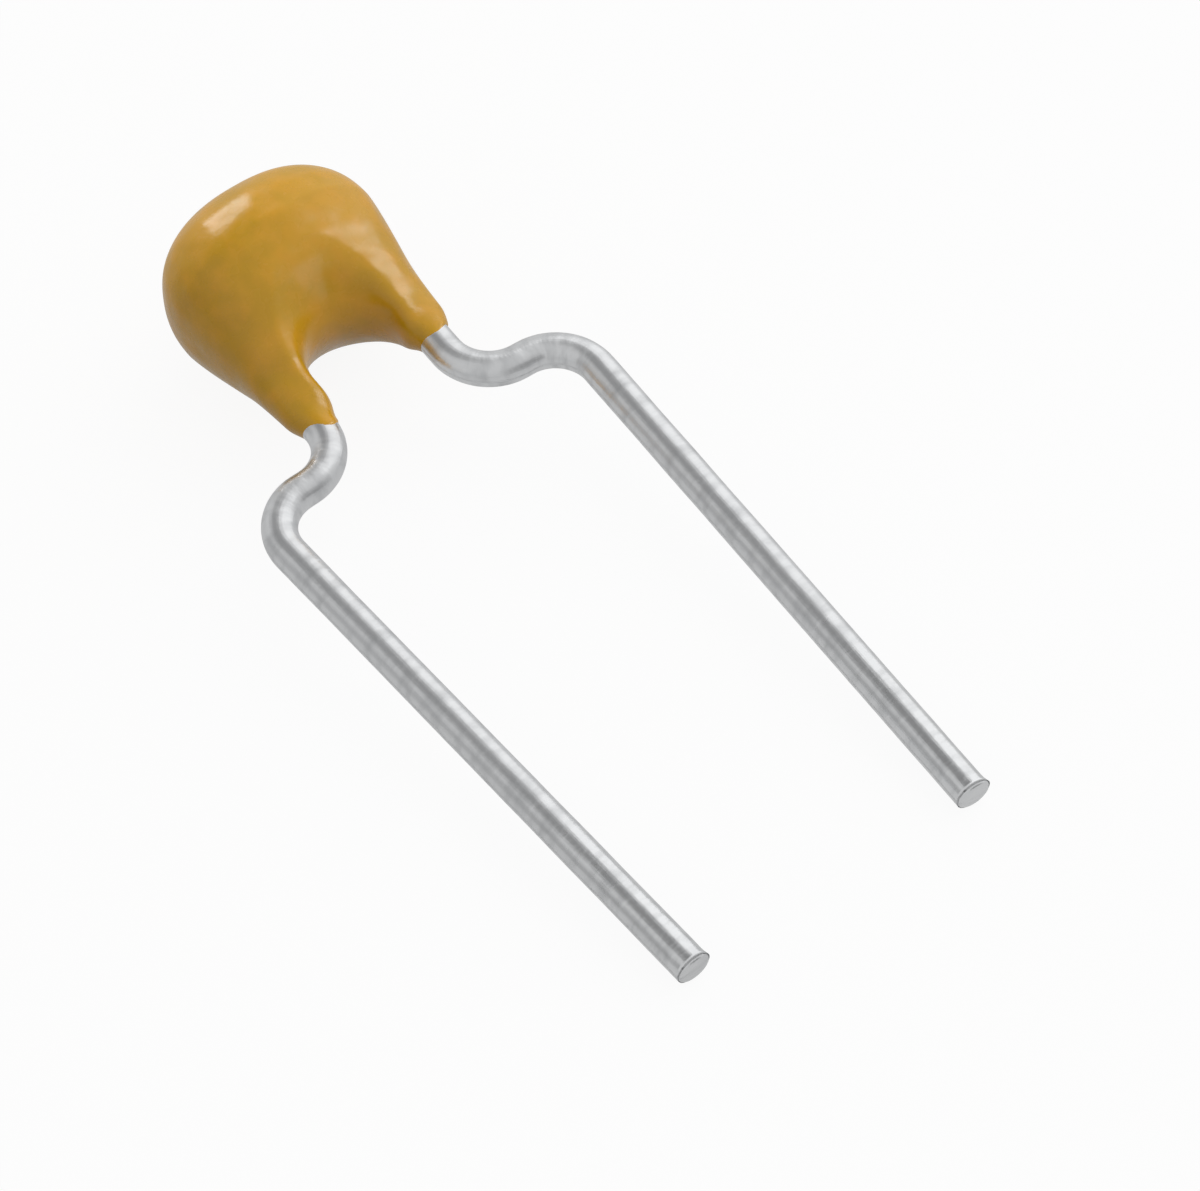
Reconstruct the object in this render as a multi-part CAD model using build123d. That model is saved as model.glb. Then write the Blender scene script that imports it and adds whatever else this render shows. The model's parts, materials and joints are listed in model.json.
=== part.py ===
"""Radial multilayer ceramic capacitor: a stacked ceramic chip with a wire soldered to each end, dipped in resin.

Millimetres. The part is first laid out flat: X runs across the two leads, Y up the body from the leads,
Z through the body's thickness, with Z = 0 in the plane of the wires. It is then tilted to lie as it rests,
on its belly and on the two wire tips, with +Z up and the origin under the middle of its bounding box.
"""

from build123d import *
from math import atan, degrees, radians, tan
import os

# Leads: tinned wire with a kink that sets the spacing and stops the body above the board.
wire_diameter = 0.48
lead_pitch = 5.08
exit_pitch = 2.04
bend_radius = 0.7
straight_length = 8.7
toe_in_angle = 2.4
shear_offset = 0.15
tip_round = 0.05
kink_drop = 0.6
kink_slope = 0.04
seating_bend_radius = 2.0

# Ceramic chip, with its long side between the wires.
chip_length = 1.6
chip_height = 1.2
chip_thickness = 1.1
chip_base = 1.42
cap_thickness = 0.08
cap_skin = 0.04
cap_band = 0.3

# Electrode stack inside the chip.
electrode_pairs = 6
electrode_thickness = 0.02
cover_layer = 0.16
electrode_end_margin = 0.22
electrode_side_margin = 0.16

# Solder joint between a chip end and its wire.
solder_gap = 0.03
solder_film = 0.05
solder_overhang = 0.08
solder_foot = 0.18
wire_above_chip = 0.12

# Resin coat: its cover over the wires, the chip's faces, its top and its base, and its sleeve on each leg.
side_cover = 0.29
face_cover = 0.8
crown_cover = 0.83
crotch_cover = 0.35
leg_sleeve = 0.04
widest_above_middle = 0.23
left_leg_end = -0.28
right_leg_end = 0.0
crotch_round = 1.25
corner_share = 0.9
dome_power = 2.4
width_taper_power = 1.2
thickness_taper_power = 1.25
dome_steps = (0.0, 0.3, 0.55, 0.75, 0.89, 0.97)
taper_steps = 6

# Levels along the belly that are tried for its point of contact.
belly_samples = 400

wire_radius = wire_diameter / 2
half_pitch = lead_pitch / 2
half_exit = exit_pitch / 2
kink_level = left_leg_end - kink_drop
tip_level = kink_level - straight_length
chip_top = chip_base + chip_height
chip_middle = (chip_base + chip_top) / 2
half_chip = chip_length / 2
wire_at_chip = half_chip + solder_gap + wire_radius
leg_radius = wire_radius + leg_sleeve
arch_radius = half_exit - leg_radius
crotch_level = chip_base - crotch_cover
coat_width = 2 * (wire_at_chip + wire_radius + side_cover)
coat_thickness = chip_thickness + 2 * face_cover
coat_top = chip_top + crown_cover
coat_widest_level = chip_middle + widest_above_middle


def wire_offset(level):
    """Distance of a wire's centre line from the middle, between its kink and the chip."""
    share = (level - kink_level) / (chip_base - kink_level)
    return half_exit + (wire_at_chip - half_exit) * share


def coat_profile(level):
    """Half width and half thickness of the coat at a level up the body."""
    if level >= coat_widest_level:
        rise = (level - coat_widest_level) / (coat_top - coat_widest_level)
        dome = (1 - rise**dome_power) ** (1 / dome_power)
        return coat_width / 2 * dome, coat_thickness / 2 * dome
    drop = (coat_widest_level - level) / (coat_widest_level - left_leg_end)
    leg_edge = wire_offset(left_leg_end) + leg_radius
    width = coat_width / 2 - (coat_width / 2 - leg_edge) * drop**width_taper_power
    thickness = coat_thickness / 2 - (coat_thickness / 2 - leg_radius) * drop**thickness_taper_power
    return width, thickness


def coat_section(level):
    """Rounded cross-section of the coat, facing up the body."""
    width, thickness = coat_profile(level)
    corner = corner_share * min(width, thickness)
    return Plane((0, level, 0), (1, 0, 0), (0, 1, 0)) * RectangleRounded(2 * width, 2 * thickness, corner)


def make_coat_form():
    """Outer form of the dipped coat: a domed body that thins towards two legs with a round crotch between."""
    taper = coat_widest_level - left_leg_end
    levels = [left_leg_end + taper * step / taper_steps for step in range(taper_steps)]
    levels += [coat_widest_level + (coat_top - coat_widest_level) * step for step in dome_steps]
    form = loft([coat_section(level) for level in levels] + [Vertex(0, coat_top, 0)])
    form -= make_crotch()
    right_trim = right_leg_end - left_leg_end
    trim = Box(coat_width, right_trim, coat_thickness, align=(Align.MIN, Align.MIN, Align.CENTER))
    form -= Location((0, left_leg_end, 0)) * trim
    return form


def make_crotch():
    """Round arch between the legs, whose edge flares out to the faces of the coat."""
    arch_level = crotch_level - arch_radius
    rim = arch_radius + crotch_round
    flank = ThreePointArc((rim, crotch_round), (arch_radius, 0), (rim, -crotch_round))
    waist = Polyline(flank @ 1, (0, -crotch_round), (0, crotch_round), flank @ 0)
    arch = revolve(Plane.XZ * make_face([flank, waist]), Axis.Z)
    depth = arch_level - left_leg_end
    gap = Box(2 * arch_radius, depth, 2 * crotch_round, align=(Align.CENTER, Align.MAX, Align.CENTER))
    return Location((0, arch_level, 0)) * (arch + gap)


def lead_route(side):
    """Centre line of one lead, from above the chip down to its tip."""
    toe_in = straight_length * tan(radians(toe_in_angle))
    top = chip_top + wire_above_chip
    inner = kink_level + kink_slope / 2
    outer = kink_level - kink_slope / 2
    tip = tip_level - (shear_offset if side > 0 else 0)
    points = [
        (side * wire_at_chip, top),
        (side * wire_at_chip, chip_base),
        (side * half_exit, inner),
        (side * half_pitch, outer),
        (side * (half_pitch - toe_in), tip),
    ]
    return FilletPolyline(*points, radius=[seating_bend_radius, bend_radius, bend_radius])


def make_lead(side):
    """One formed wire with both ends cut square and their edges slightly rounded."""
    route = lead_route(side)
    wire = sweep(Plane(route @ 0, z_dir=route % 0) * Circle(wire_radius), path=route)
    ends = wire.faces().filter_by(GeomType.PLANE).edges()
    return fillet(ends, tip_round)


def make_block():
    """Ceramic body of the chip, without its end caps."""
    length = chip_length - 2 * cap_thickness
    height = chip_height - 2 * cap_skin
    thickness = chip_thickness - 2 * cap_skin
    return Location((0, chip_middle, 0)) * Box(length, height, thickness)


def make_electrodes(side):
    """Plates that reach the chip's end on one side and stop short of the other."""
    length = chip_length - 2 * cap_thickness - electrode_end_margin
    height = chip_height - 2 * cap_skin - 2 * electrode_side_margin
    stack = chip_thickness - 2 * cap_skin - 2 * cover_layer - electrode_thickness
    gaps = 2 * electrode_pairs - 1
    first = 0 if side < 0 else 1
    plates = []
    for index in range(first, gaps + 1, 2):
        place = (side * electrode_end_margin / 2, chip_middle, -stack / 2 + stack * index / gaps)
        plates.append(Location(place) * Box(length, height, electrode_thickness))
    return plates


def make_termination(side, block):
    """Metal cap over one end of the chip."""
    length = cap_thickness + cap_band
    place = (side * (half_chip - length / 2), chip_middle, 0)
    cap = Location(place) * Box(length, chip_height, chip_thickness)
    cap = fillet(cap.faces().sort_by(Axis.X)[0 if side < 0 else -1].edges(), cap_skin)
    return cap - block


def make_solder(side, lead):
    """Solder that wets the wire and the flat end of the chip."""
    film = wire_radius + solder_film
    foot = min(chip_thickness / 2, film + solder_foot)
    middle_x = (half_chip + wire_at_chip) / 2
    upper = ThreePointArc((half_chip, foot), (middle_x, film + solder_film), (wire_at_chip, film))
    round_side = ThreePointArc((wire_at_chip, film), (wire_at_chip + film, 0), (wire_at_chip, -film))
    lower = ThreePointArc((wire_at_chip, -film), (middle_x, -film - solder_film), (half_chip, -foot))
    back = Line((half_chip, -foot), (half_chip, foot))
    base = Plane((0, chip_base + solder_overhang, 0), (side, 0, 0), (0, 1, 0))
    joint = extrude(base * make_face([upper, round_side, lower, back]), chip_height - 2 * solder_overhang)
    return joint - lead


def resting_tilt():
    """Tilt in degrees at which the belly and the wire tips lie on one level."""
    span = coat_top - left_leg_end
    levels = [left_leg_end + span * step / belly_samples for step in range(belly_samples)]
    rises = [(coat_profile(level)[1] - wire_radius) / (level - tip_level) for level in levels]
    return degrees(atan(max(rises)))


def lay_down(pieces):
    """Tilt every piece to the resting pose and put the origin under the middle of the whole."""
    turned = {name: Rot(resting_tilt(), 0, 0) * piece for name, piece in pieces.items()}
    box = turned["coating"].bounding_box()
    for name in ("lead_left", "lead_right"):
        box = box.add(turned[name].bounding_box())
    shift = Location((-box.center().X, -box.center().Y, -box.min.Z))
    return {name: shift * piece for name, piece in turned.items()}


def make_pieces():
    """Every piece of the capacitor, by name, laid out flat."""
    leads = {side: make_lead(side) for side in (-1, 1)}
    block = make_block()
    caps = {side: make_termination(side, block) for side in (-1, 1)}
    joints = {side: make_solder(side, leads[side]) for side in (-1, 1)}
    plates = {side: make_electrodes(side) for side in (-1, 1)}
    coating = make_coat_form() - [block, *caps.values(), *joints.values(), *leads.values()]
    dielectric = block - [*plates[-1], *plates[1]]
    return {
        "coating": coating,
        "lead_left": leads[-1],
        "lead_right": leads[1],
        "dielectric": dielectric,
        "electrodes_left": Compound(plates[-1]),
        "electrodes_right": Compound(plates[1]),
        "termination_left": caps[-1],
        "termination_right": caps[1],
        "solder_left": joints[-1],
        "solder_right": joints[1],
    }


os.makedirs("parts", exist_ok=True)
for name, piece in lay_down(make_pieces()).items():
    export_step(piece, f"parts/{name}.step")
    print(name, "volume", round(piece.volume, 4))
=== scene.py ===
# %% [markdown]
# # A dipped ceramic capacitor
# This lesson dresses a small radial capacitor: a chip of stacked ceramic with a wire soldered to each end,
# dipped in gold-brown resin. It lies on its side on a pale table. The solid model gives every place and
# size; here each surface gets its real form and finish. Work is done in millimetres on the part laid out
# flat, because that is how it is drawn, and one function puts the result where the part really lies, in
# metres.

# %% Load the solid model
import json
import math
import bmesh
import bpy
import numpy as np
from mathutils import Matrix, Vector


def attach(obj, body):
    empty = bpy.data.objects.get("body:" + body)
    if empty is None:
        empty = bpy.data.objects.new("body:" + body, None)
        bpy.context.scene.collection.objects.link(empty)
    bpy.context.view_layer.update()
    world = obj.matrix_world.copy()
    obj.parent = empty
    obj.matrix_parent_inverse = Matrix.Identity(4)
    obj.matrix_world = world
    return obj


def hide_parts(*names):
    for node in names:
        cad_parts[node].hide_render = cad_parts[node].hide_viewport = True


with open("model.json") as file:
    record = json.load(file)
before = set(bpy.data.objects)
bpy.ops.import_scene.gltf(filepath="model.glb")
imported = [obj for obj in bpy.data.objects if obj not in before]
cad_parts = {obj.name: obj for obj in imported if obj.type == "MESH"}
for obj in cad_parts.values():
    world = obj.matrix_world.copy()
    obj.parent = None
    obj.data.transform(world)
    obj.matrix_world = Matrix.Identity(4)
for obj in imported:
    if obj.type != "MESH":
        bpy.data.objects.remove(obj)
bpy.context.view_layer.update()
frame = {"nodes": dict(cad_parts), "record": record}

print("solid pieces:", sorted(frame["nodes"]))

# %% [markdown]
# ## The flat drawing
# Laid out flat, X runs across the two leads, Y runs up the body and Z through its thickness. The part rests
# on its belly and its wire tips, so the whole drawing is tilted a few degrees. The mount called board_stop
# is the plane under the two kinks: its axis points down the leads, which gives the tilt, and its place
# gives the rest. Level 0 is near the lower end of the resin, and the kinks lie below it.

# %% Place the flat drawing in the row frame
MM = 0.001
kink_level = -0.88
mounts = {mount["name"]: mount for mount in frame["record"]["mounts"]}
wire_radius = mounts["pin_left"]["dims"]["r_mm"]
stop_level = kink_level - wire_radius

across = Vector((1, 0, 0))
body_up = -Vector(mounts["board_stop"]["axis"]).normalized()
face_out = across.cross(body_up)
flat_origin = Vector(mounts["board_stop"]["pos_m"]) - body_up * stop_level * MM
flat_axes = np.array([across, body_up, face_out])


def to_row(points):
    """Points of the flat drawing, in millimetres, as places in the row frame, in metres."""
    return np.asarray(points) @ flat_axes * MM + np.array(flat_origin)


print("tilt of the part:", round(math.degrees(math.asin(body_up.z)), 2), "degrees")

# %% [markdown]
# ## Camera
# The photograph looks down on the face of the part from beyond the wire tips, from the left of the leads.
# It was taken from only some 55 mm away, so the tips look larger than the body. The angles are measured
# against the flat drawing, so the camera also leans with it.

# %% Camera
view_azimuth = -37.3
view_elevation = 55.3
view_distance = 55.0
aim = (0.26, -4.53, 0.0)
photo_width = 1200
pixels_per_mm = 78.4
sensor_width = 36.0
nearest = 1
farthest = 1000

azimuth = math.radians(view_azimuth)
elevation = math.radians(view_elevation)
side_on = across * math.cos(azimuth) + body_up * math.sin(azimuth)
towards = across * math.sin(azimuth) - body_up * math.cos(azimuth)
back = towards * math.cos(elevation) + face_out * math.sin(elevation)
camera = bpy.data.objects.new("camera", bpy.data.cameras.new("camera"))
camera.data.sensor_width = sensor_width
camera.data.lens = sensor_width * view_distance * pixels_per_mm / photo_width
camera.data.clip_start = nearest * MM
camera.data.clip_end = farthest * MM
turn = Matrix((side_on, back.cross(side_on), back)).transposed()
camera.matrix_world = Matrix.Translation(Vector(to_row(aim)) + back * view_distance * MM) @ turn.to_4x4()
bpy.context.scene.collection.objects.link(camera)
bpy.context.scene.camera = camera
bpy.context.scene.view_settings.view_transform = "Standard"
print("lens:", round(camera.data.lens, 1), "mm")

# %% [markdown]
# ## Node trees as expressions
# Two small helpers keep the materials readable. Tree.add makes any node from its type, its settings and the
# values or links of its sockets. Socket wraps one output, so that sums and products are written as plain
# maths and each operator adds its own Math node.


# %% Helpers for node trees
class Socket:
    """One output of a node, with arithmetic that adds Math nodes."""

    def __init__(self, tree, output):
        self.tree = tree
        self.output = output

    def maths(self, operation, *others):
        values = {index: value for index, value in enumerate(others)}
        return self.tree.add("ShaderNodeMath", {"operation": operation}, values)[0]

    def __add__(self, other):
        return self.maths("ADD", self, other)

    def __sub__(self, other):
        return self.maths("SUBTRACT", self, other)

    def __rsub__(self, other):
        return self.maths("SUBTRACT", other, self)

    def __mul__(self, other):
        return self.maths("MULTIPLY", self, other)

    __radd__ = __add__
    __rmul__ = __mul__


class Tree:
    """A node tree that is filled by calls."""

    def __init__(self, tree):
        self.tree = tree
        self.tree.nodes.clear()

    def add(self, kind, settings=None, inputs=None):
        """A new node: its settings first, then its inputs, by name or number. Gives its outputs."""
        node = self.tree.nodes.new(kind)
        for name, value in (settings or {}).items():
            if name == "stops":
                set_stops(node.color_ramp, value)
            else:
                setattr(node, name, value)
        for name, value in (inputs or {}).items():
            socket = node.inputs[name]
            if isinstance(value, Socket):
                self.tree.links.new(value.output, socket)
            else:
                socket.default_value = value
        return Outputs(self, node)


class Outputs:
    """The outputs of one node, picked by name or number."""

    def __init__(self, tree, node):
        self.tree = tree
        self.node = node

    def __getitem__(self, key):
        return Socket(self.tree, self.node.outputs[key])


def set_stops(ramp, stops):
    """Gives a colour ramp its stops, as pairs of place and grey value."""
    while len(ramp.elements) > 1:
        ramp.elements.remove(ramp.elements[-1])
    for index, (place, grey) in enumerate(stops):
        stop = ramp.elements[0] if index == 0 else ramp.elements.new(place)
        stop.position = place
        stop.color = (grey, grey, grey, 1)


print("node helpers ready")

# %% [markdown]
# Most finishes here are made of the same few steps: noise of a known size, a ramp that keeps part of it,
# two colours mixed by it, and a bump of a known depth. Each gets a short function, with its sizes in
# millimetres.

# %% Helpers for materials
noise_roughness = 0.55


def new_material(name):
    """An empty material and its tree."""
    material = bpy.data.materials.new(name)
    material.use_nodes = True
    return material, Tree(material.node_tree)


def noise(tree, place, size, detail):
    """Noise whose features are about that many millimetres wide."""
    inputs = {"Vector": place, "Scale": 1 / (size * MM), "Detail": detail, "Roughness": noise_roughness}
    return tree.add("ShaderNodeTexNoise", {}, inputs)[0]


def ramp(tree, factor, stops):
    """A factor sent through a ramp of greys."""
    return tree.add("ShaderNodeValToRGB", {"stops": stops}, {0: factor})[0]


def mix_colour(tree, factor, first, second):
    """Two colours mixed by a factor."""
    inputs = {0: factor, 6: first, 7: second}
    return tree.add("ShaderNodeMix", {"data_type": "RGBA"}, inputs)[2]


def bump(tree, height, depth, normal=None):
    """A bump whose full height is that many millimetres."""
    inputs = {"Height": height, "Distance": depth * MM, "Strength": 1.0}
    if normal is not None:
        inputs["Normal"] = normal
    return tree.add("ShaderNodeBump", {}, inputs)[0]


def finish_surface(tree, inputs):
    """The principled shader with its inputs, joined to the material's output."""
    shader = tree.add("ShaderNodeBsdfPrincipled", {}, inputs)
    tree.add("ShaderNodeOutputMaterial", {}, {"Surface": shader[0]})


print("material helpers ready")

# %% [markdown]
# ## Resin coat: the finish
# The coat is a filled epoxy that was dipped and baked: gold-brown, faintly mottled where it is thicker or
# thinner, and semi-gloss with a soft unevenness like orange peel. Two noises mix three tones of resin.
# Large soft swells and fine peel are bumps, because they are too shallow to matter in the outline.

# %% Resin coat material
resin_gold = (0.58, 0.30, 0.012, 1)
resin_olive = (0.50, 0.27, 0.006, 1)
resin_amber = (0.68, 0.32, 0.020, 1)
cloud_size = 1.1
cloud_stops = [(0.38, 0.0), (0.64, 1.0)]
mottle_size = 0.32
mottle_stops = [(0.42, 0.0), (0.72, 1.0)]
mottle_share = 0.5
swell_size = 0.55
swell_depth = 0.05
peel_size = 0.12
peel_depth = 0.0025
gloss_size = 0.25
resin_roughness = 0.19
roughness_change = 0.16
resin_ior = 1.48


def make_resin():
    """Gold-brown dipped resin."""
    material, tree = new_material("resin_coat")
    place = tree.add("ShaderNodeTexCoord")["Object"]
    cloud = ramp(tree, noise(tree, place, cloud_size, 2.0), cloud_stops)
    mottle = ramp(tree, noise(tree, place, mottle_size, 3.0), mottle_stops)
    colour = mix_colour(tree, cloud, resin_olive, resin_gold)
    colour = mix_colour(tree, mottle * mottle_share, colour, resin_amber)
    swell = noise(tree, place, swell_size, 1.0)
    peel = noise(tree, place, peel_size, 1.0)
    finish_surface(tree, {
        "Base Color": colour,
        "Roughness": noise(tree, place, gloss_size, 2.0) * roughness_change + resin_roughness,
        "IOR": resin_ior,
        "Normal": bump(tree, peel, peel_depth, bump(tree, swell, swell_depth)),
    })
    return material


resin = make_resin()
print("material:", resin.name)

# %% [markdown]
# ## Resin coat: the shape
# A dipped coat is a skin of liquid that surface tension has rounded. That is hard to cage by hand, but easy
# to write as a rule: a distance that is negative inside. A domed body and a thin sleeve on each wire are
# joined by a soft minimum, which leaves fillets like a liquid's, and the arch between the legs is taken
# away by a soft maximum. The skin is where the distance is nought. In the sizes, -1 stands for the left
# side and 1 for the right.

# %% Sizes of the coat
coat_half_width = 1.6
coat_half_thickness = 1.35
coat_widest_level = 2.25
coat_top = 3.45
dome_power = 2.43
leg_end = {-1: -0.22, 1: 0.06}
leg_half_width = 1.2
leg_half_thickness = 0.22
width_taper_power = 1.2
thickness_taper_power = 1.25
deepest_taper = 1.1
end_change_width = 0.6
half_exit = 1.02
wire_at_chip = 1.07
chip_base = 1.42
chip_top = 2.62
print("coat:", 2 * coat_half_width, "mm wide and", 2 * coat_half_thickness, "mm thick")


# %% Joining two distances softly
def soft_min(first, second, blend):
    """The smaller of two distances, rounded where they are nearly equal."""
    gap = np.maximum(blend - np.abs(first - second), 0) / blend
    return np.minimum(first, second) - gap * gap * blend / 4


def soft_max(first, second, blend):
    """The larger of two distances, rounded where they are nearly equal."""
    return -soft_min(-first, -second, blend)


print("soft minimum of 0 and 0, blended over 1:", soft_min(0, 0, 1))

# %% [markdown]
# The body is a rounded box above its widest level and tapers below it. The right leg ends a little higher
# than the left, so the level where the taper ends glides from one to the other across the body.


# %% Rule of the body
def taper_end(x):
    """Level at which the taper ends, which glides from the left leg's end to the right leg's."""
    middle = (leg_end[1] + leg_end[-1]) / 2
    half = (leg_end[1] - leg_end[-1]) / 2
    return middle + half * np.tanh(x / end_change_width)


def body_distance(x, y, z):
    """The domed body, which narrows and thins towards the legs."""
    taper = np.clip((coat_widest_level - y) / (coat_widest_level - taper_end(x)), 0, deepest_taper)
    width = coat_half_width - (coat_half_width - leg_half_width) * taper**width_taper_power
    thinning = (coat_half_thickness - leg_half_thickness) * taper**thickness_taper_power
    thickness = coat_half_thickness - thinning
    rise = np.clip((y - coat_widest_level) / (coat_top - coat_widest_level), 0, None)
    ring = (np.abs(x) / width) ** dome_power + (np.abs(z) / thickness) ** dome_power
    return ((ring + rise**dome_power) ** (1 / dome_power) - 1) * thickness


print("right leg ends at", round(float(taper_end(half_exit)), 2), "mm")

# %% [markdown]
# On each wire the resin thins to a sleeve. Resin runs down before it sets, so a sleeve hangs lower on one
# side, and its edge is slightly wavy.

# %% Rule of the sleeves
sleeve_end = {-1: -0.22, 1: 0.13}
sleeve_sag = {-1: 0.12, 1: 0.1}
sleeve_low_side = {-1: 105, 1: 130}
sleeve_thickness = 0.03
sleeve_swell_length = 0.25
sleeve_edge_slope = 0.7
edge_wave_height = 0.02
edge_waves = 3


def sleeve_distance(x, y, z, side):
    """The sleeve of resin on one wire, which thins to nothing at its end and hangs lower on one side."""
    lean = (wire_at_chip - half_exit) / (chip_base - kink_level)
    off_x = x * side - half_exit - (y - kink_level) * lean
    turn = np.arctan2(z, off_x)
    sag = sleeve_sag[side] * np.cos(turn - math.radians(sleeve_low_side[side]))
    rise = y - (sleeve_end[side] - sag + edge_wave_height * np.sin(edge_waves * turn))
    swollen = sleeve_thickness * (1 - np.exp(-np.maximum(rise, 0) / sleeve_swell_length))
    return np.hypot(off_x, z) - wire_radius - swollen - sleeve_edge_slope * np.minimum(rise, 0)


print("sleeves:", sleeve_thickness, "mm thick")

# %% [markdown]
# Between the legs the liquid has pulled itself into a round arch, which is narrowest in the middle of the
# body's thickness and flares towards both faces. The whole is the body less the arch, joined to the
# sleeves, with low lumps all over, because no two dips come out alike.

# %% Rule of the whole coat
arch_radius = 0.72
crotch_level = 1.05
arch_flare = 0.42
arch_blend = 0.16
leg_cut_above_end = 0.17
leg_cut_blend = 0.25
sleeve_top_blend = 0.4
sleeve_blend = 0.2
lump_height = 0.012
lump_pitch = np.array([3.1, 2.7, 2.9])
lump_shift = np.array([1.3, 0.4, 2.0])


def arch_distance(x, y, z):
    """The round arch between the legs, which widens towards both faces."""
    centre = crotch_level - arch_radius
    return np.hypot(x, np.maximum(y - centre, 0)) - arch_radius - arch_flare * z * z


def coat_distance(points):
    """Signed distance to the skin of the coat, in millimetres: negative inside the resin."""
    x, y, z = points[..., 0], points[..., 1], points[..., 2]
    body = soft_max(body_distance(x, y, z), -arch_distance(x, y, z), arch_blend)
    for side in (-1, 1):
        end = leg_end[side] + leg_cut_above_end
        body = np.where(x * side > 0, soft_max(body, end - y, leg_cut_blend), body)
        sleeve = soft_max(sleeve_distance(x, y, z, side), y - chip_top, sleeve_top_blend)
        body = soft_min(body, sleeve, sleeve_blend)
    return body + lump_height * np.prod(np.sin(points * lump_pitch + lump_shift), -1)


print("distance at the chip's base:", round(float(coat_distance(np.array([0, chip_base, 0]))), 3), "mm")

# %% [markdown]
# ## From a rule to a mesh
# Surface nets turn such a rule into even quads. The distance is taken on a grid, and each cell that the
# skin passes through gets one point, at the mean of the places where the skin crosses the cell's edges.


# %% Points of a surface net
def net_points(values, low, step):
    """One point for each cell that the skin crosses, at the mean of the crossings on its edges."""
    shape = [size - 1 for size in values.shape]
    total = np.zeros(shape + [3])
    count = np.zeros(shape)
    for axis in range(3):
        first, second = np.delete(np.arange(3), axis)
        for u in (0, 1):
            for v in (0, 1):
                start = [slice(None, -1)] * 3
                start[first] = slice(u, u + shape[first])
                start[second] = slice(v, v + shape[second])
                stop = list(start)
                stop[axis] = slice(1, None)
                a, b = values[tuple(start)], values[tuple(stop)]
                cross = (a < 0) != (b < 0)
                share = np.where(cross, a / np.where(cross, a - b, 1), 0)
                total[..., axis] += share
                total[..., first] += cross * u
                total[..., second] += cross * v
                count += cross
    used = count > 0
    cells = np.argwhere(used)
    points = low + step * (cells + total[used] / count[used][:, None])
    numbers = np.full(shape, -1)
    numbers[used] = np.arange(len(cells))
    return points, numbers


print("points of a net ready")

# %% [markdown]
# Each inner edge of the grid that changes sign gets a quad between the four cells around it. Which end is
# inside tells the order of its corners, so that every face looks outwards.


# %% Faces of a surface net
def net_faces(values, numbers):
    """One quad for each inner grid edge whose two ends lie on different sides, facing outwards."""
    faces = []
    for axis in range(3):
        first, second = (axis + 1) % 3, (axis + 2) % 3
        start = [slice(1, -1)] * 3
        start[axis] = slice(None, -1)
        stop = list(start)
        stop[axis] = slice(1, None)
        a, b = values[tuple(start)], values[tuple(stop)]
        for cross, order in (((a < 0) & (b >= 0), (0, 1, 2, 3)), ((a >= 0) & (b < 0), (3, 2, 1, 0))):
            cell = np.argwhere(cross)
            offset = np.ones(3, int)
            offset[axis] = 0
            cell = cell + offset
            ring = []
            for u, v in ((-1, -1), (0, -1), (0, 0), (-1, 0)):
                corner = cell.copy()
                corner[:, first] += u
                corner[:, second] += v
                ring.append(numbers[tuple(corner.T)])
            faces.append(np.stack([ring[place] for place in order], 1))
    return np.concatenate(faces)


print("faces of a net ready")

# %% [markdown]
# The points of the net are only near the skin. Each is pushed along the slope of the distance until it lies
# on the skin itself, which takes out the last trace of the grid.

# %% From the net to a mesh
press_rounds = 4
press_nudge = 0.002
least_slope = 0.05


def press_to_skin(points, rule):
    """Moves points along the slope of the rule until they lie on the skin."""
    for _ in range(press_rounds):
        slope = np.stack([rule(points + step) - rule(points - step) for step in np.eye(3) * press_nudge], 1)
        slope /= 2 * press_nudge
        size = np.maximum((slope**2).sum(1), least_slope)
        points = points - slope * (rule(points) / size)[:, None]
    return points


def skin_mesh(name, rule, low, high, step):
    """The skin of a rule as a mesh object in the row frame."""
    axes = [np.arange(a, b, step) for a, b in zip(low, high)]
    grid = np.stack(np.meshgrid(*axes, indexing="ij"), -1)
    values = rule(grid)
    points, numbers = net_points(values, np.array(low), step)
    faces = net_faces(values, numbers)
    mesh = bpy.data.meshes.new(name)
    mesh.from_pydata(to_row(press_to_skin(points, rule)).tolist(), [], faces.tolist())
    mesh.shade_smooth()
    piece = bpy.data.objects.new(name, mesh)
    bpy.context.scene.collection.objects.link(piece)
    print(name, "faces:", len(mesh.polygons))
    return piece


print("skins can be made")

# %% [markdown]
# The coat is the skin of its rule, in a box that is a little larger than the coat. The step of the grid is
# small enough for the thin edges of the sleeves.

# %% Make the coat
grid_step = 0.035
box_low = (-1.85, -0.6, -1.4)
box_high = (1.85, 3.6, 1.4)
coat = skin_mesh("resin_coat", coat_distance, box_low, box_high, grid_step)
coat.data.materials.append(resin)
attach(coat, "root")
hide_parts("coating")

# %% [markdown]
# ## Tinned wire: the finish
# The leads are copper or steel wire with a skin of tin. Drawing leaves fine lines along the wire, the
# bending tools leave dull patches, the straight ends are rubbed brighter, and the tin is never quite even.
# The pattern must follow the wire round its bends, so the sweep below leaves two numbers on every point:
# how far along the wire it lies, and how far round.

# %% Tinned wire material
tin_bright = (0.80, 0.81, 0.82, 1)
tin_dull = (0.50, 0.51, 0.52, 1)
wire_length = 13.3
line_stretch = (2.0, 60.0, 1.0)
patch_stretch = (5.0, 3.0, 1.0)
grain_size = 0.05
dull_stops = [(0.45, 0.0), (0.75, 1.0)]
dull_share = 0.6
polish_stops = [(0.72, 0.0), (0.95, 1.0)]
line_depth = 0.002
patch_depth = 0.012
tin_roughness = 0.27
dull_roughness = 0.1
grain_roughness = 0.08
polish_gain = 0.12


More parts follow.
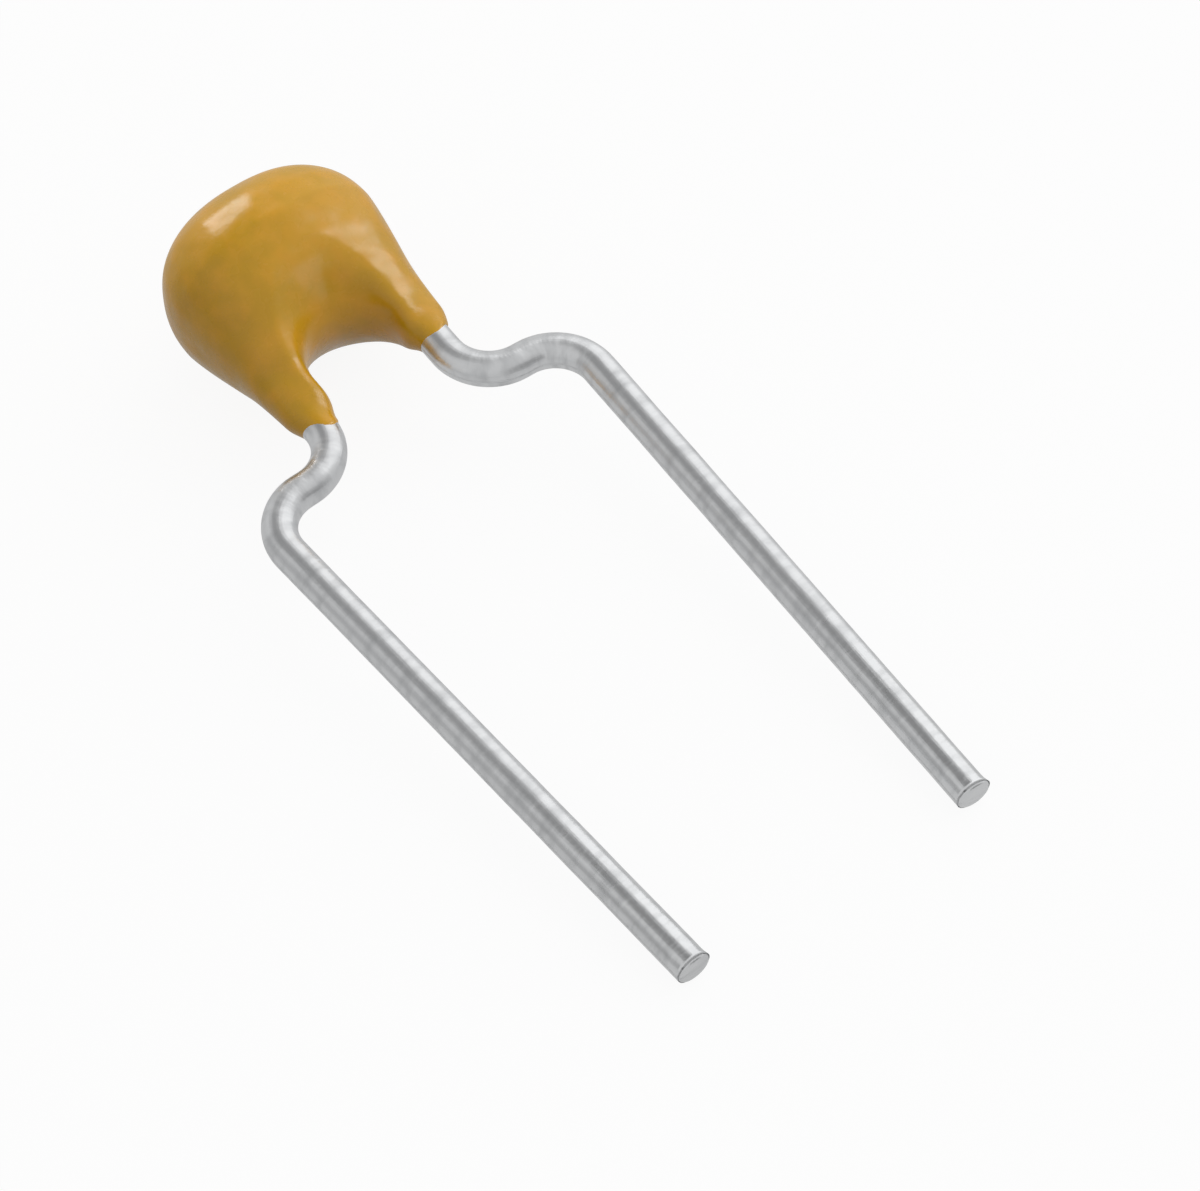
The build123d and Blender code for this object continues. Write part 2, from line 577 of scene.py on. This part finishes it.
def stretched_noise(tree, wrap, stretch, detail):
    """Noise that is stretched along or round the wire."""
    place = tree.add("ShaderNodeMapping", {}, {0: wrap, 3: stretch})[0]
    return tree.add("ShaderNodeTexNoise", {}, {"Vector": place, "Scale": 1.0, "Detail": detail})[0]


def make_tin():
    """Bright tin with drawing lines and dull patches, patterned along the wire."""
    material, tree = new_material("tinned_wire")
    wrap = tree.add("ShaderNodeUVMap", {"uv_map": "UVMap"})[0]
    lines = stretched_noise(tree, wrap, line_stretch, 2.0)
    patches = stretched_noise(tree, wrap, patch_stretch, 4.0)
    grain = noise(tree, tree.add("ShaderNodeTexCoord")["Object"], grain_size, 2.0)
    dull = ramp(tree, patches, dull_stops)
    along = tree.add("ShaderNodeSeparateXYZ", {}, {0: wrap})[0]
    polish = ramp(tree, along * (1 / wire_length), polish_stops)
    matt = dull * dull_roughness + grain * grain_roughness + tin_roughness
    finish_surface(tree, {
        "Base Color": mix_colour(tree, dull * dull_share, tin_bright, tin_dull),
        "Metallic": 1.0,
        "Roughness": matt - polish * polish_gain,
        "Normal": bump(tree, lines, line_depth, bump(tree, patches, patch_depth)),
    })
    return material


tin = make_tin()
print("material:", tin.name)

# %% [markdown]
# ## Leads
# Each lead is one wire, bent twice to make the kink that sets the lead spacing. A wire follows a path, so
# Geometry Nodes make it: the corners of the path are rounded, the path is cut into short steps, its radius
# varies a little, and a circle is swept along it. The tree is built once, and each lead sets its own
# inputs.

# %% Corners of the two leads
toe_in_angle = 2.55
bend_radius = 0.7
inner_bend_radius = 2.0
straight_length = 8.7
wire_above_chip = 0.12
lead_shape = {
    -1: {"exit": 1.04, "bend": 2.54, "slope": 0.04, "tip": 0.0, "seed": 3},
    1: {"exit": 1.0, "bend": 2.50, "slope": 0.04, "tip": 0.15, "seed": 8},
}


def lead_corners(side):
    """Corners of one lead's centre line on the flat drawing, from the chip to the tip."""
    shape = lead_shape[side]
    toe = straight_length * math.tan(math.radians(toe_in_angle))
    half = shape["slope"] / 2
    return [
        (side * wire_at_chip, chip_top + wire_above_chip, 0),
        (side * wire_at_chip, chip_base, 0),
        (side * shape["exit"], kink_level + half, 0),
        (side * shape["bend"], kink_level - half, 0),
        (side * (shape["bend"] - toe), kink_level - straight_length - shape["tip"], 0),
    ]


print("left tip:", lead_corners(-1)[-1], "right tip:", lead_corners(1)[-1])

# %% [markdown]
# The tree takes a path of straight runs. Its corners carry their own bend radius as an attribute, because
# the bend inside the resin is much gentler than the two of the kink. A noise along the path thins and
# thickens the wire by a few hundredths, as forming does. Two attributes are kept for the pattern of the
# tin: the place along the path, in millimetres, and the place round the circle.

# %% Geometry Nodes for a formed wire
bend_points = 24
path_points = 420
ring_points = 40
waves_per_mm = 0.9
wobble = 0.02


def new_input(group, name, kind, value=None):
    """Adds a named input to a node group and gives its identifier."""
    item = group.interface.new_socket(name=name, in_out="INPUT", socket_type=kind)
    if value is not None:
        item.default_value = value
    return item.identifier


def keep_value(tree, curve, value, name):
    """Keeps a value on every point of a curve. Gives the curve and the kept value."""
    kept = tree.add("GeometryNodeCaptureAttribute", {"domain": "POINT"}, {})
    kept.node.capture_items.new("FLOAT", name)
    tree.tree.links.new(curve.output, kept.node.inputs[0])
    tree.tree.links.new(value.output, kept.node.inputs[1])
    return kept[0], kept[1]


def bent_path(tree, chain):
    """A chain of straight edges as an even curve with rounded corners."""
    bend = tree.add("GeometryNodeInputNamedAttribute", {"data_type": "FLOAT"}, {"Name": "bend_radius"})[0]
    path = tree.add("GeometryNodeMeshToCurve", {}, {"Mesh": chain})[0]
    rounding = {"Curve": path, "Radius": bend, "Count": bend_points}
    path = tree.add("GeometryNodeFilletCurve", {"mode": "POLY"}, rounding)[0]
    return tree.add("GeometryNodeResampleCurve", {"mode": "COUNT"}, {"Curve": path, "Count": path_points})[0]


def thickness_share(tree, place, given):
    """How much thicker than its radius the wire is at a place along it."""
    spot = tree.add("ShaderNodeCombineXYZ", {}, {0: place, 1: given["Seed"]})[0]
    look = {"Vector": spot, "Scale": waves_per_mm, "Detail": 2.0}
    wave = tree.add("ShaderNodeTexNoise", {"noise_dimensions": "2D"}, look)[0]
    return (wave - 0.5) * given["Wobble"] * 2 + 1


def swept_wire(tree, given):
    """The wire's skin, with its place along and round kept as a UV map."""
    along = tree.add("GeometryNodeSplineParameter")["Length"] * (1 / MM)
    path, kept_along = keep_value(tree, bent_path(tree, given["Path"]), along, "Along")
    circle = {"Resolution": ring_points, "Radius": 1.0}
    ring = tree.add("GeometryNodeCurvePrimitiveCircle", {"mode": "RADIUS"}, circle)[0]
    around = tree.add("GeometryNodeSplineParameter")["Factor"]
    ring, kept_around = keep_value(tree, ring, around, "Round")
    thickness = given["Wire Radius"] * thickness_share(tree, along, given)
    sweep = {"Curve": path, "Profile Curve": ring, "Scale": thickness, "Fill Caps": True}
    wire = tree.add("GeometryNodeCurveToMesh", {}, sweep)[0]
    wrap = tree.add("ShaderNodeCombineXYZ", {}, {0: kept_along, 1: kept_around})[0]
    stored = {"Geometry": wire, "Name": "UVMap", "Value": wrap}
    return tree.add("GeometryNodeStoreNamedAttribute", {"data_type": "FLOAT2", "domain": "CORNER"}, stored)[0]


def make_wire_tree():
    """A tree that turns a path of straight runs into a bent round wire, and the identifiers of its inputs."""
    group = bpy.data.node_groups.new("formed_wire", "GeometryNodeTree")
    group.interface.new_socket(name="Path", in_out="INPUT", socket_type="NodeSocketGeometry")
    names = {
        "radius": new_input(group, "Wire Radius", "NodeSocketFloat", wire_radius * MM),
        "wobble": new_input(group, "Wobble", "NodeSocketFloat", wobble),
        "seed": new_input(group, "Seed", "NodeSocketFloat", 0.0),
        "finish": new_input(group, "Finish", "NodeSocketMaterial"),
    }
    group.interface.new_socket(name="Wire", in_out="OUTPUT", socket_type="NodeSocketGeometry")
    tree = Tree(group)
    given = tree.add("NodeGroupInput")
    wire = swept_wire(tree, given)
    wire = tree.add("GeometryNodeRealizeInstances", {}, {"Geometry": wire})[0]
    wire = tree.add("GeometryNodeSetMaterial", {}, {"Geometry": wire, "Material": given["Finish"]})[0]
    tree.add("NodeGroupOutput", {}, {0: wire})
    return group, names


wire_tree, wire_inputs = make_wire_tree()
print("inputs of the wire tree:", wire_inputs)

# %% [markdown]
# The sweep ends in a flat disc at each end. A lead is sheared, so its edge is not sharp but rolled over: a
# small bevel on the disc's edge gives that. The blade also drags the last of the wire along and leaves the
# cut a little slanted.

# %% Ends of the leads
roll_width = 0.09
roll_steps = 5
roll_profile = 0.6
burr_length = 0.16
burr_reach = 0.035
cut_slant = 0.012


def roll_ends(mesh):
    """Rolls over the edge of each flat end of a wire."""
    form = bmesh.new()
    form.from_mesh(mesh)
    discs = [face for face in form.faces if len(face.verts) > 4]
    rims = list({edge for disc in discs for edge in disc.edges})
    roll = {"offset": roll_width * MM, "segments": roll_steps, "profile": roll_profile}
    bmesh.ops.bevel(form, geom=rims, affect="EDGES", **roll)
    bmesh.ops.recalc_face_normals(form, faces=form.faces)
    form.to_mesh(mesh)
    form.free()


def burr_tip(mesh, side):
    """Drags the last of the wire towards the blade's far side and slants the cut, as shearing does."""
    tip = np.array(lead_corners(side)[-1])
    places = np.zeros(len(mesh.vertices) * 3)
    mesh.vertices.foreach_get("co", places)
    flat = (places.reshape(-1, 3) - np.array(flat_origin)) @ flat_axes.T / MM - tip
    near = np.clip(1 - flat[:, 1] / burr_length, 0, 1)
    across_cut = (flat[:, 0] + flat[:, 2]) / math.sqrt(2) / wire_radius
    drag = near**2 * np.clip(across_cut, 0, 1) ** 2 * burr_reach
    flat[:, 0] += drag / math.sqrt(2)
    flat[:, 2] += drag / math.sqrt(2)
    flat[:, 1] -= near * (across_cut + 1) * cut_slant
    mesh.vertices.foreach_set("co", to_row(flat + tip).ravel())
    mesh.update()


print("a cut edge is rolled over by", roll_width, "mm")

# %% [markdown]
# Each lead starts as a chain of straight edges with the bend radius on its corners. The modifier sweeps it,
# the result is made a plain mesh, and its ends are then finished.


# %% Make the leads
def path_object(name, corners, radii):
    """A chain of straight edges whose points carry the radius of their bend."""
    chain = bpy.data.meshes.new(name)
    chain.from_pydata(to_row(corners).tolist(), [(place, place + 1) for place in range(len(corners) - 1)], [])
    bends = chain.attributes.new("bend_radius", "FLOAT", "POINT")
    bends.data.foreach_set("value", np.array(radii, dtype=np.float32) * MM)
    path = bpy.data.objects.new(name, chain)
    bpy.context.scene.collection.objects.link(path)
    return path


def make_lead(name, side):
    """One lead as a finished mesh piece."""
    radii = [0, inner_bend_radius, bend_radius, bend_radius, 0]
    path = path_object(name + "_path", lead_corners(side), radii)
    sweep = path.modifiers.new("wire", "NODES")
    sweep.node_group = wire_tree
    sweep[wire_inputs["radius"]] = wire_radius * MM
    sweep[wire_inputs["wobble"]] = wobble
    sweep[wire_inputs["seed"]] = float(lead_shape[side]["seed"])
    sweep[wire_inputs["finish"]] = tin
    bpy.context.view_layer.update()
    grown = path.evaluated_get(bpy.context.evaluated_depsgraph_get())
    mesh = bpy.data.meshes.new_from_object(grown)
    bpy.data.objects.remove(path)
    roll_ends(mesh)
    burr_tip(mesh, side)
    mesh.shade_smooth()
    mesh.name = name
    lead = bpy.data.objects.new(name, mesh)
    bpy.context.scene.collection.objects.link(lead)
    print(name, "faces:", len(mesh.polygons), "materials:", len(mesh.materials))
    return lead


for lead_name, lead_side in (("lead_left", -1), ("lead_right", 1)):
    lead_piece = make_lead("wire_" + lead_name[5:], lead_side)
    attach(lead_piece, "root")
    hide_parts(lead_name)

# %% [markdown]
# ## Inside the resin
# The chip, its plates, its end caps and the solder stay as the solid model has them: their flat faces and
# sharp edges are already right. They can't be seen in the photograph, but each still gets the finish of the
# real thing, for anyone who opens the coat.

# %% Finish of an inner piece
speck_stops = [(0.35, 0.0), (0.65, 1.0)]
roughness_spread = 0.2


def make_inner(name, light, dark, size, metallic, roughness, depth):
    """A mottled and faintly rough finish for an inner piece, from two tones."""
    material, tree = new_material(name)
    place = tree.add("ShaderNodeTexCoord")["Object"]
    speck = noise(tree, place, size, 4.0)
    colour = mix_colour(tree, ramp(tree, speck, speck_stops), dark, light)
    finish_surface(tree, {
        "Base Color": colour,
        "Metallic": metallic,
        "Roughness": speck * roughness_spread + (roughness - roughness_spread / 2),
        "Normal": bump(tree, speck, depth),
    })
    return material


print("finish of an inner piece ready")

# %% [markdown]
# Fired ceramic is brown and matt. The plates are nickel paste that was fired with it. The caps are plated
# and duller than the wire, and the solder is the smoothest of the metals, because it froze from a liquid.

# %% Dress the inner pieces
ceramic_light = (0.46, 0.33, 0.22, 1)
ceramic_dark = (0.33, 0.22, 0.14, 1)
nickel_light = (0.5, 0.48, 0.44, 1)
nickel_dark = (0.3, 0.29, 0.27, 1)
cap_light = (0.75, 0.74, 0.71, 1)
cap_dark = (0.55, 0.54, 0.52, 1)
solder_light = (0.68, 0.69, 0.7, 1)
solder_dark = (0.5, 0.51, 0.53, 1)
inner_finish = {
    "dielectric": make_inner(
        "fired_ceramic", ceramic_light, ceramic_dark, size=0.03, metallic=0.0, roughness=0.6, depth=0.004
    ),
    "electrodes": make_inner(
        "sintered_nickel", nickel_light, nickel_dark, size=0.02, metallic=1.0, roughness=0.5, depth=0.002
    ),
    "termination": make_inner(
        "plated_cap", cap_light, cap_dark, size=0.05, metallic=1.0, roughness=0.4, depth=0.005
    ),
    "solder": make_inner(
        "solder_fillet", solder_light, solder_dark, size=0.12, metallic=1.0, roughness=0.25, depth=0.01
    ),
}
for node_name, node in frame["nodes"].items():
    finish = inner_finish.get(node_name.split("_")[0])
    if finish:
        for place in node.material_slots:
            place.material = finish
        print(node_name, "gets", finish.name)

# %% [markdown]
# ## Table, light and surroundings
# The photograph is a cut-out on white under broad soft lamps. The table shows nearly white to the camera
# and keeps a faint shadow. Bright metal only looks like metal if something dark shows in it, so mirror rays
# find the table grey, as they would find the far parts of a real one, and lighter towards the lamps on the
# right.

# %% Table
table_reach = 600
shadow_share = 0.12
table_glow = 1.03
table_grey = 0.95
grey_lost_in_bounces = 0.5
mirrored_greys = [(0.44, 0.32), (0.56, 0.88)]


def make_table_material():
    """Pale table: nearly white to the camera, grey to mirror rays and lighter on the lit side, else matt."""
    material, tree = new_material("table")
    rays = tree.add("ShaderNodeLightPath")
    seen = rays["Is Camera Ray"] + rays["Is Transmission Ray"]
    matt_grey = table_grey - rays["Is Diffuse Ray"] * grey_lost_in_bounces
    matt = tree.add("ShaderNodeBsdfDiffuse", {}, {"Color": matt_grey})[0]
    white = tree.add("ShaderNodeEmission", {}, {"Color": (1, 1, 1, 1), "Strength": table_glow})[0]
    place = tree.add("ShaderNodeSeparateXYZ", {}, {0: tree.add("ShaderNodeTexCoord")["Object"]})[0]
    side = place * (1 / (2 * table_reach * MM)) + 0.5
    mirrored = ramp(tree, side, mirrored_greys)
    grey = tree.add("ShaderNodeEmission", {}, {"Color": mirrored, "Strength": 1.0})[0]
    surface = tree.add("ShaderNodeMixShader", {}, {0: seen * (1 - shadow_share), 1: matt, 2: white})[0]
    surface = tree.add("ShaderNodeMixShader", {}, {0: rays["Is Glossy Ray"], 1: surface, 2: grey})[0]
    tree.add("ShaderNodeOutputMaterial", {}, {"Surface": surface})
    return material


def make_table():
    """A large square table top at the height that the part rests on."""
    reach = table_reach * MM
    corners = [(-reach, -reach, 0), (reach, -reach, 0), (reach, reach, 0), (-reach, reach, 0)]
    mesh = bpy.data.meshes.new("table")
    mesh.from_pydata(corners, [], [(0, 1, 2, 3)])
    mesh.materials.append(make_table_material())
    table = bpy.data.objects.new("table", mesh)
    bpy.context.scene.collection.objects.link(table)


make_table()
print("table made")

# %% [markdown]
# Four soft boxes make the highlights. The wide one stands on the right and gives each wire its bright band.
# The other three light only the coat, because a lamp bright enough to show in resin turns bare metal white:
# a narrow one on the right draws the streak on the rim of the arch, one behind the body lights its far
# shoulder, and a low one in front lifts the slope between the legs. Directions are given in degrees:
# clockwise from the body's top end, then up from the table.

# %% Lamps
lamp_distance = 90


def towards_angles(turned, raised):
    """A direction of the row frame, from degrees clockwise of the body's top end and degrees upwards."""
    flat = math.cos(math.radians(raised))
    angle = math.radians(turned)
    return Vector((math.sin(angle) * flat, math.cos(angle) * flat, math.sin(math.radians(raised))))


def make_box(name, first, last, width, radiance, lit=None):
    """A soft box between two directions, that many degrees wide across them. It can light one piece only."""
    distance = lamp_distance * MM
    start, end = towards_angles(*first), towards_angles(*last)
    ray = (start + end).normalized()
    along = (end - start).normalized()
    data = bpy.data.lights.new(name, "AREA")
    data.shape = "RECTANGLE"
    data.size = 2 * distance * math.tan(start.angle(end) / 2)
    data.size_y = 2 * distance * math.tan(math.radians(width / 2))
    data.energy = radiance * math.pi * data.size * data.size_y
    lamp = bpy.data.objects.new(name, data)
    turn = Matrix((along, ray.cross(along), ray)).transposed()
    lamp.matrix_world = Matrix.Translation(ray * distance) @ turn.to_4x4()
    bpy.context.scene.collection.objects.link(lamp)
    if lit:
        lamp.light_linking.receiver_collection = bpy.data.collections.new("lit_by_" + name)
        lamp.light_linking.receiver_collection.objects.link(lit)
    print(name, "power", round(data.energy, 3), "W")


make_box("right_box", (43, 28), (112, 28), width=60, radiance=0.42)
make_box("back_box", (-10, 34), (16, 34), width=28, radiance=6.4, lit=coat)
make_box("rim_strip", (90, 12), (116, 54), width=8, radiance=6.0, lit=coat)
make_box("front_glow", (140, 14), (170, 14), width=40, radiance=1.4, lit=coat)

# %% [markdown]
# The sky is a plain grey with three darker patches: one overhead draws the dark line down each wire, one
# low in front keeps the kinks from going flat, and one low on the left shades the wires' left edges. A
# patch has its direction, the cosines at which it starts and is full, and how much grey it takes away. The
# camera sees white.

# %% Surroundings
sky_grey = 0.64
dark_patches = [
    ((-17, 60), 0.86, 0.97, 0.38),
    ((165, 3), 0.82, 0.96, 0.36),
    ((-62, 8), 0.88, 0.97, 0.22),
]
world = bpy.data.worlds.new("surroundings")
world.use_nodes = True
bpy.context.scene.world = world
sky = Tree(world.node_tree)
way = sky.add("ShaderNodeTexCoord")["Generated"]
grey = sky_grey
for aimed, edge, core, depth in dark_patches:
    patch_way = tuple(towards_angles(*aimed))
    alike = sky.add("ShaderNodeVectorMath", {"operation": "DOT_PRODUCT"}, {0: way, 1: patch_way})["Value"]
    grey = grey - ramp(sky, alike, [(edge, 0.0), (core, depth)])
rays = sky.add("ShaderNodeLightPath")
soft = sky.add("ShaderNodeBackground", {}, {"Color": grey, "Strength": 1.0})[0]
white = sky.add("ShaderNodeBackground", {}, {"Color": (1, 1, 1, 1), "Strength": 1.0})[0]
both = sky.add("ShaderNodeMixShader", {}, {0: rays["Is Camera Ray"], 1: soft, 2: white})[0]
sky.add("ShaderNodeOutputWorld", {}, {"Surface": both})
print("surroundings made")
